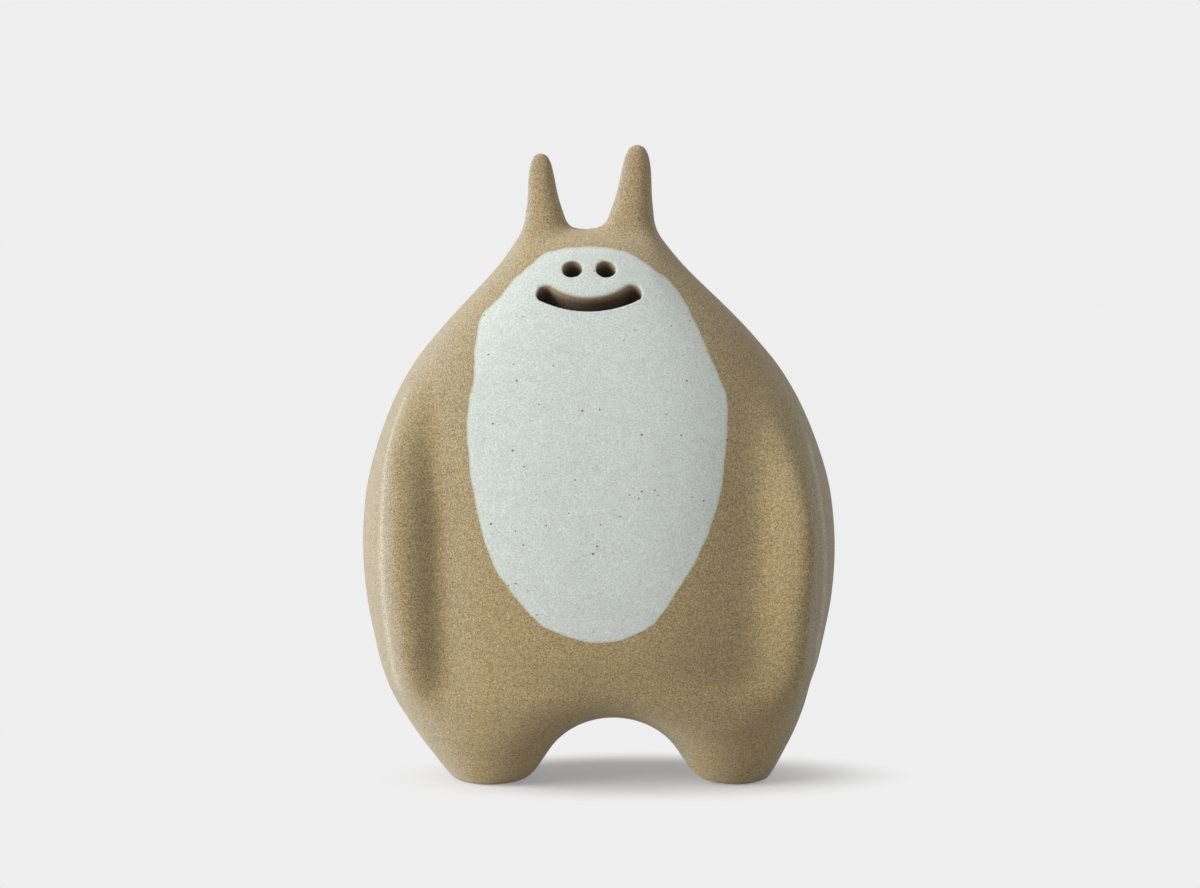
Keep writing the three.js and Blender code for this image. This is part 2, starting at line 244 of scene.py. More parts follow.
def linear(hex_value):
    """Linear red, green and blue of an sRGB hex value."""
    shares = [int(hex_value[i:i + 2], 16) / 255 for i in (1, 3, 5)]
    return [s / 12.92 if s <= 0.04045 else ((s + 0.055) / 1.055) ** 2.4 for s in shares]


def colour(name, description, hex_value):
    """A colour picked as an sRGB hex value and kept linear."""
    return FloatVectorProperty(
        name=name, description=description, default=linear(hex_value), size=3, min=0, max=1, subtype="COLOR"
    )


# Sizes and colours

class TorsoSizes(bpy.types.PropertyGroup):
    arch: length("Arch", "Height of the arch and of the torso's underside", 17.4)
    height: length("Height", "From the underside to the crown", 112.3)
    width: length("Width", "Across the bare torso", 96.8)
    depth: length("Depth", "From front to back", 76)
    squareness: number("Squareness", "Exponent of the cross-section", 2.38)
    lean_height: length("Lean height", "Height where the middle line begins to bend", 40)
    crown_shift: length("Crown shift", "Sideways shift of the crown", -2.1)
    wall: length("Wall", "Wall of the hollow torso", 5)
    face_wall: length("Face wall", "Wall behind the pierced face", 9)


class ArmSizes(bpy.types.PropertyGroup):
    stand_out: length("Stand-out", "How far an arm stands out from the torso's side", 7)
    front: length("Front", "An arm's front before the middle", 32)
    back: length("Back", "An arm's back behind the middle", 23)
    hand_height: length("Hand height", "Hand above the floor", 17)
    shoulder_drop: length("Shoulder drop", "Shoulder below the crown", 30.7)
    ridge_inset: length("Ridge inset", "Front ridge in from the outer side", 6.2)
    left_inset: length("Left inset", "More inset of the left ridge", 0.7)
    right_inset: length("Right inset", "More inset of the right ridge at the shoulder", 3.2)
    left_front: length("Left front", "Left arm's foremost line in from its ridge", 3.5)
    right_front: length("Right front", "Right arm's foremost line in from its ridge", 3.5)
    right_ease: length("Right ease", "How far the right arm's front lies back at the shoulder", 1.1)
    ridge_round: length("Ridge rounding", "Softness of the right ridge", 1.6)
    soft_ridge: length("Soft ridge", "Softness of the left ridge, and of both at the shoulder", 4.5)
    outer_roll: length("Outer roll", "Roundness of the front beside the ridge", 4.8)
    inner_roll: length("Inner roll", "Roundness of the front towards the groove", 7.4)
    back_roll: length("Back roll", "Roundness of the back", 8)
    blend: length("Blend", "Softness of the groove beside an arm", 5.8)
    right_blend: length("Right blend", "More softness beside the right arm, half of it at the shoulder", 8)
    end_blend: length("End blend", "Softness where an arm runs into the outline", 5)


class LegSizes(bpy.types.PropertyGroup):
    sole_width: length("Sole width", "Across both soles", 74.4)
    sole_depth: length("Sole depth", "From front to back at the floor", 36)
    sole_shift: length("Sole shift", "Sideways shift of the soles", 2.8)
    shift_height: length("Shift height", "Height where that shift has died away", 24)
    foot_round: length("Foot rounding", "Softness of the soles' outer edges", 2)
    toe_round: length("Toe rounding", "Softness of the soles' edges at the arch", 6)
    hip_width: length("Hip width", "Across both hips", 96.6)
    hip_depth: length("Hip depth", "From front to back at the hips", 63.6)
    root_rise: length("Root rise", "Top of the legs above the torso's underside", 18)
    squareness: number("Squareness", "Exponent of the cross-section", 2.3)
    arch_x: length("Arch place", "Sideways place of the arch between the legs", 3.3)
    arch_drop: length("Arch drop", "Top of the arch below the torso's underside", 0.8)
    arch_stretch: number("Arch stretch", "Arch's half width over its height", 1.05)
    arch_spread: number("Arch spread", "More of that stretch at the floor", 0.18)
    spread_height: length("Spread height", "Height where the arch's spread has died away", 9)
    arch_inner: length("Arch's inner rounding", "Softness of the arch half way through", 8)
    arch_round: length("Arch rounding", "Softness of the arch's edges", 26)
    blend: length("Blend", "Softness of the join to the torso", 4)


class HornSizes(bpy.types.PropertyGroup):
    left_root: length("Left root", "Where the left horn leaves the crown", -11.6)
    left_tip: length("Left tip", "Place of the left tip", -13.6)
    left_rise: length("Left rise", "Left tip above the crown", 17.8)
    left_thick: length("Left thickness", "Radius of the left horn's root", 4.9)
    right_root: length("Right root", "Where the right horn leaves the crown", 6.3)
    right_tip: length("Right tip", "Place of the right tip", 8.85)
    right_rise: length("Right rise", "Right tip above the crown", 19.8)
    right_thick: length("Right thickness", "Radius of the right horn's root", 5.6)
    sink: length("Sink", "Root below the crown", 2)
    inner_blend: length("Inner blend", "Softness of the dip between the horns", 6)
    outer_blend: length("Outer blend", "Softness of the flare to the shoulders", 12.5)


class PanelSizes(bpy.types.PropertyGroup):
    width: length("Width", "Across the slip panel", 60)
    drop: length("Drop", "Top of the panel below the crown", 3)
    rise: length("Rise", "Lower end above the torso's underside", 20.5)
    thickness: length("Thickness", "Thickness of the slip", 0.9)
    wobble: length("Wobble", "How far the brushed edge wanders", 0.22)


class FaceSizes(bpy.types.PropertyGroup):
    middle: length("Middle", "Middle of the face", -2.3)
    eye_drop: length("Eye drop", "Eyes below the crown", 7.6)
    eye_spacing: length("Eye spacing", "Between the eyes' middles", 7.8)
    eye_radius: length("Eye radius", "Radius of the pierced eyes", 2.3)
    eye_round: length("Eye rounding", "Softness of an eye's edge", 0.8)
    mouth_drop: length("Mouth drop", "Lowest point of the smile below the crown", 15.35)
    mouth_span: length("Mouth span", "From corner to corner", 23.9)
    mouth_bend: length("Mouth bend", "Radius of the smile", 16.5)
    mouth_height: length("Mouth height", "Height of the slot", 3.8)
    upper_lip: length("Upper lip", "Softness of the mouth's upper edge", 2)
    lower_lip: length("Lower lip", "Softness of the mouth's lower edge", 0.6)


class ClayFinish(bpy.types.PropertyGroup):
    body: colour("Body", "Fired tan stoneware", "#b29e75")
    # Paler colour of the line along each arm: partly clay worn through, partly a painted highlight of the
    # ridge.
    bare_and_highlit: colour("Bare", "Clay worn through on ridges and edges", "#d4cab2")
    # Paler colour on the top and both sides: partly sanded clay, partly painted highlight and sheen.
    pale_and_lit: colour("Pale", "Clay rubbed paler on its top and sides", "#b3a890")
    # Painted shade: the dark brown that the walls of the pierced holes are darkened to with depth.
    hollow: colour("Hollow", "Brown clay inside the pierced holes", "#645039")
    grain: length("Grain", "Width of a sand grain", 0.34)
    dust: number("Dust", "Pale sanding dust seen at a slant", 0.2)
    # The paler line along each arm is partly a painted highlight of the ridge.
    worn_highlight: length("Wear", "Half width of the worn line along an arm's side", 0.75)
    left_worn_highlight: length("Left wear", "That line's place behind the left ridge", 1.7)
    right_worn_highlight: length("Right wear", "That line's place behind the right ridge", 3.2)


class SlipFinish(bpy.types.PropertyGroup):
    body: colour("Body", "Fired white slip", "#d8ded8")
    speck: colour("Speck", "Iron specks", "#78736a")
    grain: length("Grain", "Width of the slip's fine grain", 0.36)
    specks: number("Specks", "Iron specks on each square centimetre", 0.75)
    speck_size: length("Speck size", "Radius of a large speck", 0.31)
    speck_seed: IntProperty(name="Speck seed", description="Scatter of the specks", default=7)


class StageSettings(bpy.types.PropertyGroup):
    distance: length("Distance", "From the camera to the figure", 1100)
    aim: length("Aim", "Height that the camera looks at", 79.3)
    aside: length("Aside", "Camera to the right of the middle", 0.2)
    elevation: rotation("Elevation", "Camera above the horizon", 7)
    lens: number("Lens", "Focal length in millimetres", 140.6)
    floor: colour("Floor", "Lit studio paper, as the camera sees it", "#eeeeee")
    paper: colour("Paper", "Studio paper's own colour", "#fbfbfb")
    bounce: colour("Bounce", "Paper's colour in the light that it throws back", "#b0b0b0")
    shadow_reach: length("Shadow reach", "Where the figure's shadow has faded out", 50)
    lamp_turn: rotation("Lamp turn", "Lamp's turn to the viewer's left", 62)
    lamp_rise: rotation("Lamp rise", "Lamp above the horizon", 21)
    lamp_size: rotation("Lamp size", "Width of the lamp in the sky", 38)
    lamp_strength: number("Lamp strength", "Sun lamp's strength", 3.1)
    horizon: number("Horizon", "Studio light from the sides", 0.76)
    zenith: number("Zenith", "Studio light from overhead", 0.24)


class FigurineSettings(bpy.types.PropertyGroup):
    torso: PointerProperty(type=TorsoSizes)
    arms: PointerProperty(type=ArmSizes)
    legs: PointerProperty(type=LegSizes)
    horns: PointerProperty(type=HornSizes)
    panel: PointerProperty(type=PanelSizes)
    face: PointerProperty(type=FaceSizes)
    clay: PointerProperty(type=ClayFinish)
    slip: PointerProperty(type=SlipFinish)
    stage: PointerProperty(type=StageSettings)
    coarse: length("Coarse step", "Grid step of the body", 0.9)
    fine: length("Fine step", "Grid step around the face", 0.35)


def sizes():
    """The figurine's settings on the scene."""
    return bpy.context.scene.figurine


# Curves and fields

def spline(at, values):
    """Natural cubic spline through the knots, straight beyond its ends."""
    step = np.diff(at)
    slope = np.diff(values) / step
    system = np.diag(np.r_[1, 2 * (step[:-1] + step[1:]), 1])
    system += np.diag(np.r_[step[:-1], 0], -1) + np.diag(np.r_[0, step[1:]], 1)
    bend = np.linalg.solve(system, np.r_[0, 6 * np.diff(slope), 0])
    first = slope[0] - step[0] * bend[1] / 6
    last = slope[-1] + step[-1] * bend[-2] / 6

    def value(position):
        held = np.clip(position, at[0], at[-1])
        i = np.clip(np.searchsorted(at, held) - 1, 0, len(step) - 1)
        a = (at[i + 1] - held) / step[i]
        b = 1 - a
        curve = ((a**3 - a) * bend[i] + (b**3 - b) * bend[i + 1]) * step[i] ** 2 / 6
        beyond = np.minimum(position - at[0], 0) * first + np.maximum(position - at[-1], 0) * last
        return a * values[i] + b * values[i + 1] + curve + beyond

    return value


def held_spline(at, values):
    """The same, but level beyond its ends."""
    free = spline(at, values)
    return lambda position: free(np.clip(position, at[0], at[-1]))


torso_square = spline(TORSO_PROFILE[:, 0], TORSO_PROFILE[:, 1] ** 2)
torso_front = held_spline(TORSO_PROFILE[1:-1, 0], TORSO_PROFILE[1:-1, 1] / TORSO_PROFILE[1:-1, 2])
torso_back = held_spline(TORSO_PROFILE[1:-1, 0], TORSO_PROFILE[1:-1, 1] / TORSO_PROFILE[1:-1, 3])
arm_reach, arm_inset, arm_front = (held_spline(ARM_PROFILE[:, 0], ARM_PROFILE[:, i]) for i in (1, 2, 3))
leg_width, leg_depth = (held_spline(LEG_PROFILE[:, 0], LEG_PROFILE[:, i]) for i in (1, 2))
horn_square = spline(HORN_PROFILE[:, 0], HORN_PROFILE[:, 1] ** 2)


def slope_along(curve, position, probe=0.1 * MM):
    """Slope of a curve by a small probe to either side."""
    return (curve(position + probe) - curve(position - probe)) / (2 * probe)


def soft_min(a, b, reach):
    """The smaller field, with a fillet where both are near."""
    near = np.maximum(reach - np.abs(a - b), 0) / reach
    return np.minimum(a, b) - near**3 * reach / 6


def soft_max(a, b, reach):
    """The larger field, with the same fillet."""
    return -soft_min(-a, -b, reach)


def eased(level, *slopes):
    """A level over the length of its slope: the distance from the surface, near the surface."""
    return level / np.sqrt(sum(slope**2 for slope in slopes) + 1e-9)


def ramp(value, low, high):
    """Smooth step from 0 at low to 1 at high."""
    share = np.clip((value - low) / (high - low), 0, 1)
    return share * share * (3 - 2 * share)


def between(start, end, share):
    """A value some share of the way from start to end."""
    return start + (end - start) * share


def crown():
    """Height of the torso's crown."""
    return sizes().torso.arch + sizes().torso.height


def middle_x(z):
    """The torso's middle line, which bends to one side on its way up."""
    torso = sizes().torso
    share = np.maximum(z - torso.lean_height, 0) / (crown() - torso.lean_height)
    return torso.crown_shift * share**2


def torso_field(x, y, z):
    """Egg with superelliptic cross-sections. Distance from its surface, near the surface."""
    torso = sizes().torso
    power = torso.squareness

    def square(height):
        return (torso.width / 2) ** 2 * torso_square((height - torso.arch) / torso.height)

    share = (z - torso.arch) / torso.height
    ratio = np.where(y < 0, torso_front(share), torso_back(share)) * torso.width / torso.depth
    across = np.abs(x - middle_x(z))
    away = ratio * np.abs(y)
    mixed = across**power + away**power + 1e-12
    pull = 2 * mixed ** (2 / power - 1)
    slope_x = pull * across ** (power - 1)
    slope_y = pull * ratio * away ** (power - 1)
    slope_z = slope_along(square, z)
    level = mixed ** (2 / power) - square(z)
    return eased(level, slope_x, slope_y, slope_z)


def shoulder(z):
    """How far a height lies up an arm's upper third, from 0 to 1."""
    return ramp(z, *SHOULDER_Z)


def arm_faces(x, y, z):
    """Both arms' outer planes, and the rolled faces in front of and behind them."""
    arms, torso = sizes().arms, sizes().torso
    low = arms.hand_height
    high = crown() - arms.shoulder_drop
    full = torso.width / 2 + arms.stand_out

    def along(curve, scale):
        return lambda height: scale * curve((height - low) / (high - low))

    reach = along(arm_reach, full)
    inset = along(arm_inset, arms.ridge_inset)
    full_front = along(arm_front, -arms.front)
    on_left = x < middle_x(z)
    front_inset = np.where(on_left, arms.left_front, arms.right_front)
    ease = np.where(on_left, 0, arms.right_ease)

    def front(height):
        return full_front(height) + ease * shoulder(height)

    ridge_x = inset(z) + np.where(on_left, arms.left_inset, arms.right_inset * shoulder(z))
    ridge_y = front(z) + front_inset**2 / (2 * arms.outer_roll)
    aside = np.abs(x - middle_x(z))
    bow = ridge_x * (y / ridge_y) ** 2
    outer = eased(aside - reach(z) + bow, 1.0, 2 * ridge_x * y / ridge_y**2, slope_along(reach, z))

    across = aside - reach(z) + ridge_x + front_inset
    roll = np.where(across < 0, arms.inner_roll, arms.outer_roll)
    before = eased(front(z) + across**2 / (2 * roll) - y, 1.0, across / roll, slope_along(front, z))
    back = y - arms.back * arm_front((z - low) / (high - low)) + across**2 / (2 * arms.back_roll)
    behind = eased(back, 1.0, across / arms.back_roll, BACK_SLOPE)
    ends = np.maximum(low - ARM_TAIL - z, z - high - ARM_TAIL)
    return outer, np.maximum(np.maximum(before, behind), ends)


def arm_field(x, y, z):
    """Both arms, with a soft ridge between the outer plane and the front."""
    arms = sizes().arms
    outer, rolled = arm_faces(x, y, z)
    softer = np.where(x < middle_x(z), 1, shoulder(z))
    return soft_max(outer, rolled, between(arms.ridge_round, arms.soft_ridge, softer))


def leg_field(x, y, z):
    """Both legs before the arch is cut out between them: one skirt that narrows to the floor."""
    legs, torso = sizes().legs, sizes().torso
    power = legs.squareness
    root = torso.arch + legs.root_rise

    def half(curve, small, large):
        return lambda height: between(small, large, curve(height / root)) / 2

    width = half(leg_width, legs.sole_width, legs.hip_width)
    depth = half(leg_depth, legs.sole_depth, legs.hip_depth)
    stretch = width(z) / depth(z)
    across = np.abs(x - legs.sole_shift * np.clip(1 - z / legs.shift_height, 0, 1))
    away = stretch * np.abs(y)
    mixed = across**power + away**power + 1e-12
    pull = mixed ** (1 / power - 1)
    slope_x = pull * across ** (power - 1)
    slope_y = pull * stretch * away ** (power - 1)
    sideways = across**power / mixed
    slope_z = slope_along(width, z) * sideways + slope_along(depth, z) * stretch * (1 - sideways)
    skirt = eased(mixed ** (1 / power) - width(z), slope_x, slope_y, slope_z)
    return np.maximum(skirt, z - root)


def arch_field(x, z):
    """The round arch between the legs, a little wider than high and spread at the floor."""
    legs = sizes().legs
    height = sizes().torso.arch - legs.arch_drop
    stretch = legs.arch_stretch + legs.arch_spread * np.maximum(1 - z / legs.spread_height, 0) ** 2
    return np.hypot((x - legs.arch_x) / stretch, z) - height


def horn_field(x, y, z):
    """Both horns: round, tapering, and bent upright above the crown."""
    horns = sizes().horns
    low = crown() - horns.sink
    result = FAR
    for root_x, tip_x, rise, thick in (
        (horns.left_root, horns.left_tip, horns.left_rise, horns.left_thick),
        (horns.right_root, horns.right_tip, horns.right_rise, horns.right_thick),
    ):
        tall = rise + horns.sink

        def square(height):
            return thick**2 * horn_square((height - low) / tall)

        share = np.clip((z - low) / tall, 0, 1)
        aside = x - root_x - (tip_x - root_x) * share * (2 - share)
        level = aside**2 + y**2 - square(z)
        horn = eased(level, 2 * aside, 2 * y, slope_along(square, z))
        result = np.minimum(result, np.maximum(horn, low - HORN_TAIL - z))
    return result


def skin_field(x, y, z):
    """The whole figure's outside, with every limb blended into the torso."""
    arms, legs, horns, face = sizes().arms, sizes().legs, sizes().horns, sizes().face
    level = soft_min(torso_field(x, y, z), leg_field(x, y, z), legs.blend)
    on_right = ramp(x, *RIGHT_GROOVE_X) * (1 + ramp(z, *RIGHT_GROOVE_Z)) / 2
    groove = arms.blend + arms.right_blend * on_right
    groove = between(arms.end_blend, groove, ramp(np.abs(y), *GROOVE_Y))
    level = soft_min(level, arm_field(x, y, z), groove)
    arch = arch_field(x, z)
    flared = between(legs.arch_inner, legs.arch_round, ramp(np.abs(y), *ARCH_Y))
    level = soft_max(level, -arch, flared)
    sole = between(legs.foot_round, legs.toe_round, ramp(arch, *TOES_OFF_ARCH))
    level = soft_max(level, -z, sole)
    flare = between(horns.inner_blend, horns.outer_blend, ramp(np.abs(x - face.middle), *FLARE_OFF_FACE))
    return soft_min(level, horn_field(x, y, z), flare)


def gradient(field, points, probe=0.03 * MM):
    """Slope of a field at points, by small probes."""
    slopes = np.empty_like(points)
    for axis in range(3):
        offset = np.zeros(3)
        offset[axis] = probe
        slopes[:, axis] = (field(*(points + offset).T) - field(*(points - offset).T)) / (2 * probe)
    return slopes


def front_point(x, z, halvings=40, probe=0.3 * MM):
    """Where a line along the view meets the skin, and the direction square to it there."""
    near, far = OUT_FRONT, 0.0
    for _ in range(halvings):
        y = (near + far) / 2
        if skin_field(np.array([x]), np.array([y]), np.array([z]))[0] > 0:
            near = y
        else:
            far = y
    point = np.array([x, far, z])
    normal = gradient(skin_field, point[None, :], probe)[0]
    return point, normal / np.linalg.norm(normal)


def hole_depth():
    """How deep the face is pierced."""
    return sizes().torso.face_wall * HOLE_REACH


def eye_holes():
    """Place and direction of each pierced eye."""
    face = sizes().face
    z = crown() - face.eye_drop
    return [front_point(face.middle + side * face.eye_spacing / 2, z) for side in (-1, 1)]


def eye_field(eye, x, y, z):
    """A round hole pierced square to the face."""
    point, axis = eye
    dx, dy, dz = x - point[0], y - point[1], z - point[2]
    along = dx * axis[0] + dy * axis[1] + dz * axis[2]
    aside = np.sqrt(np.maximum(dx**2 + dy**2 + dz**2 - along**2, 0))
    return np.maximum(aside - sizes().face.eye_radius, -along - hole_depth())


def mouth_hole():
    """Lowest point of the smile, and the directions across, up and out of it."""
    face = sizes().face
    point, out = front_point(face.middle, crown() - face.mouth_drop)
    across = np.array([-out[1], out[0], 0])
    across /= np.linalg.norm(across)
    return point, across, np.cross(out, across), out


def mouth_field(mouth, x, y, z):
    """A smiling slot with round corners, pierced square to the face."""
    face = sizes().face
    point, across, up, out = mouth
    dx, dy, dz = x - point[0], y - point[1], z - point[2]
    aside = dx * across[0] + dy * across[1] + dz * across[2]
    rise = dx * up[0] + dy * up[1] + dz * up[2]
    along = dx * out[0] + dy * out[1] + dz * out[2]
    bend, half = face.mouth_bend, face.mouth_height / 2
    turn = math.asin((face.mouth_span / 2 - half) / bend)
    angle = np.clip(np.arctan2(aside, bend - rise), -turn, turn)
    from_line = np.hypot(aside - bend * np.sin(angle), rise - bend + bend * np.cos(angle))
    fat = half * (MOUTH_MIDDLE + MOUTH_CORNERS * (angle / turn) ** 2)
    over = ramp(bend - np.hypot(aside, bend - rise), -half / 2, half / 2)
    lip = between(face.lower_lip, face.upper_lip, over)
    return np.maximum(from_line - fat, -along - hole_depth()), lip


class Face:
    """The pierced face, worked out once."""

    def __init__(self):
        self.eyes = eye_holes()
        self.mouth = mouth_hole()

    def body_field(self, x, y, z):
        """The hollow, pierced body."""
        face, torso = sizes().face, sizes().torso
        start, end = (crown() - drop for drop in FACE_WALL_DROP)
        hollow = torso_field(x, y, z) + between(torso.wall, torso.face_wall, ramp(z, start, end))
        level = np.maximum(skin_field(x, y, z), -hollow)
        for eye in self.eyes:
            level = soft_max(level, -eye_field(eye, x, y, z), face.eye_round)
        mouth, lip = mouth_field(self.mouth, x, y, z)
        return soft_max(level, -mouth, lip)


# Meshes from fields

def stepped(low, high, fine_low, fine_high):
    """Grid lines from low to high, close together between the fine limits."""
    settings = sizes()

    def run(start, end, step):
        return np.linspace(start, end, max(2, math.ceil((end - start) / step)), endpoint=False)

    return np.r_[
        run(low, fine_low, settings.coarse),
        run(fine_low, fine_high, settings.fine),
        run(fine_high, high, settings.coarse),
        high,
    ]


def grid_lines():
    """The grid over the whole figure, fine around the face."""
    face, top = sizes().face, crown()
    (x0, y0, z0), (x1, y1, z1) = cad_box
    edge = 3 * MM
    rim = 4 * MM
    reach = face.mouth_span / 2 + edge
    return (
        stepped(x0 - edge, x1 + edge, face.middle - reach, face.middle + reach),
        stepped(y0 - edge, y1 + edge, *FACE_Y),
        stepped(z0 - edge, z1 + edge, top - face.mouth_drop - rim, top - face.eye_drop + rim),
    )


def wrap(field, lines, slabs=16):
    """Wraps a field's zero level in quads: one point in each grid cell that it crosses."""
    parts = np.array_split(lines[0], slabs)
    values = np.concatenate([field(x[:, None, None], lines[1][None, :, None], lines[2]) for x in parts])
    for axis in range(3):
        rim = np.moveaxis(values, axis, 0)
        rim[0], rim[-1] = FAR, FAR
    inside = values < 0
    shape = [n - 1 for n in inside.shape]
    corners = [(i, j, k) for i in (0, 1) for j in (0, 1) for k in (0, 1)]
    count = np.zeros(shape, np.int8)
    for i, j, k in corners:
        count += inside[i:shape[0] + i, j:shape[1] + j, k:shape[2] + k]
    cells = np.array(np.nonzero((count > 0) & (count < 8))).T
    order = np.full(shape, -1, np.int64)
    order[tuple(cells.T)] = np.arange(len(cells))

    total = np.zeros((len(cells), 3))
    hits = np.zeros(len(cells))
    for corner in corners:
        for axis in range(3):
            if corner[axis]:
                continue
            a = cells + corner
            b = a.copy()
            b[:, axis] += 1
            va, vb = values[tuple(a.T)], values[tuple(b.T)]
            cross = (va < 0) != (vb < 0)
            share = va[cross] / (va[cross] - vb[cross])
            start = np.stack([lines[n][a[cross, n]] for n in range(3)], axis=1)
            end = np.stack([lines[n][b[cross, n]] for n in range(3)], axis=1)
            total[cross] += start + share[:, None] * (end - start)
            hits[cross] += 1
    points = total / hits[:, None]

    quads = []
    for axis in range(3):
        one, two = (axis + 1) % 3, (axis + 2) % 3
        ahead = np.moveaxis(inside, (axis, one, two), (0, 1, 2))[:, 1:-1, 1:-1]
        numbers = np.moveaxis(order, (axis, one, two), (0, 1, 2))
        i, j, k = np.nonzero(ahead[:-1] != ahead[1:])
        ring = [numbers[i, j, k], numbers[i, j + 1, k], numbers[i, j + 1, k + 1], numbers[i, j, k + 1]]
        ring = np.stack(ring, axis=1)
        outward = ahead[:-1][i, j, k]
        quads.append(np.where(outward[:, None], ring, ring[:, ::-1]))
    return points, np.concatenate(quads)


def settle(field, points, rounds):
    """Draws wrapped points on to the field's zero level."""
    limit = sizes().fine
    for _ in range(rounds):
        slope = gradient(field, points)
        square = np.maximum((slope**2).sum(axis=1), 1e-3)
        move = (field(*points.T) / square)[:, None] * slope
        size = np.linalg.norm(move, axis=1, keepdims=True)
        points = points - move * np.minimum(1, limit / np.maximum(size, 1e-12))
    return points


def linked(name, mesh):
    """A new object in the scene, with a mesh that is there already."""
    made = bpy.data.objects.new(name, mesh)
    bpy.context.scene.collection.objects.link(made)
    return made


def mesh_object(name, points, faces):
    """A new object from lists of points and faces."""
    mesh = bpy.data.meshes.new(name)
    mesh.from_pydata(points, [], faces)
    mesh.validate()
    return linked(name, mesh)


def wrapped_object(name, field, lines, rounds=4):
    """A new object wrapped around a field's zero level."""
    points, quads = wrap(field, lines)
    return mesh_object(name, settle(field, points, rounds).tolist(), quads.tolist())


def bake(made):
    """Turns an object's modifiers into its plain mesh."""
    graph = bpy.context.evaluated_depsgraph_get()
    mesh = bpy.data.meshes.new_from_object(made.evaluated_get(graph))
    made.modifiers.clear()
    old = made.data
    made.data = mesh
    bpy.data.meshes.remove(old)
    mesh.name = made.name


def cut(name, body, cutter, operation):
    """A new object: what a boolean operation with the cutter leaves of the body."""
    made = linked(name, body.data.copy())
    step = made.modifiers.new("cut", "BOOLEAN")
    step.solver = "MANIFOLD"
    step.operation = operation
    step.object = cutter
    bake(made)
    return made


def discard(*objects):
    """Takes objects and their meshes out of the file."""
    for made in objects:
        mesh = made.data
        bpy.data.objects.remove(made)
        bpy.data.meshes.remove(mesh)


def side_box(name, **limits):
    """A box to cut with, larger than the figure but for the limits given, such as x0 or z1."""
    sides = [(limits.get(axis + "0", -FAR), limits.get(axis + "1", FAR)) for axis in "xyz"]
    corners = [(x, y, z) for x in sides[0] for y in sides[1] for z in sides[2]]
    faces = [(0, 1, 3, 2), (4, 6, 7, 5), (0, 4, 5, 1), (2, 3, 7, 6), (0, 2, 6, 4), (1, 5, 7, 3)]
    return mesh_object(name, corners, faces)


def panel_line(count=260, lap=3):
    """Points on the slip panel's outline, seen from the front."""
    panel, torso = sizes().panel, sizes().torso
    low, high = torso.arch + panel.rise, crown() - panel.drop
    x = PANEL_OUTLINE[:, 0] * panel.width / 2
    z = low + PANEL_OUTLINE[:, 1] * (high - low)
    knots = len(x)
    around = np.linspace(0, knots, count, endpoint=False)
    at = np.arange(-lap, knots + lap + 1)
    line = np.stack([spline(at, values[at % knots])(around) for values in (x, z)], axis=1)
    along = np.roll(line, -1, axis=0) - np.roll(line, 1, axis=0)
    out = np.stack([along[:, 1], -along[:, 0]], axis=1) / np.linalg.norm(along, axis=1, keepdims=True)
    turn = 2 * math.pi * around / knots
    wave = sum(np.sin(waves * turn + start) for waves, start in BRUSH_WAVES) / len(BRUSH_WAVES)
    return line + panel.wobble * wave[:, None] * out


def panel_prism():
    """The slip panel's outline drawn out to the front, to cut with."""
    line = panel_line()
    count = len(line)
    points = [(x, y, z) for y in (0.0, OUT_FRONT) for x, z in line.tolist()]
    sides = [(i, (i + 1) % count, count + (i + 1) % count, count + i) for i in range(count)]
    back = tuple(reversed(range(count)))
    front = tuple(range(count, 2 * count))
    return mesh_object("panel_prism", points, [*sides, back, front])


# Materials

# A range node's inputs are 0 the value, 1 and 2 its own range, and 3 and 4 the new one.
# A mix node's are 0 the share, and 6 and 7 the colours.

def add(tree, kind, inputs=None, **settings):
    """Adds a node with its settings. Its inputs get values, or links from sockets or nodes' first outputs."""
    made = tree.nodes.new(kind)
    for key, value in settings.items():
        setattr(made, key, value)
    for key, value in (inputs or {}).items():
        if isinstance(value, bpy.types.Node):
            value = value.outputs[0]
        if isinstance(value, bpy.types.NodeSocket):
            tree.links.new(value, made.inputs[key])
        else:
            made.inputs[key].default_value = value
    return made


def new_material(name, surface):
    """A material whose nodes are added by a function of the tree and the object coordinates."""
    material = bpy.data.materials.new(name)
    material.use_nodes = True
    tree = material.node_tree
    tree.nodes.clear()
    coords = add(tree, "ShaderNodeTexCoord").outputs["Object"]
    add(tree, "ShaderNodeOutputMaterial", {0: surface(tree, coords)})
    return material


def shaded_in_holes(tree, skin):
    """A colour darkened to brown deeper inside the pierced holes: painted shade."""
    depth = add(tree, "ShaderNodeAttribute", attribute_name="depth").outputs["Fac"]
    inside = add(tree, "ShaderNodeMapRange", {0: depth, 1: 0.2 * MM, 2: 3 * MM})
    hollow = (*sizes().clay.hollow, 1)
    return add(tree, "ShaderNodeMix", {0: inside, 6: skin, 7: hollow}, data_type="RGBA").outputs[2]


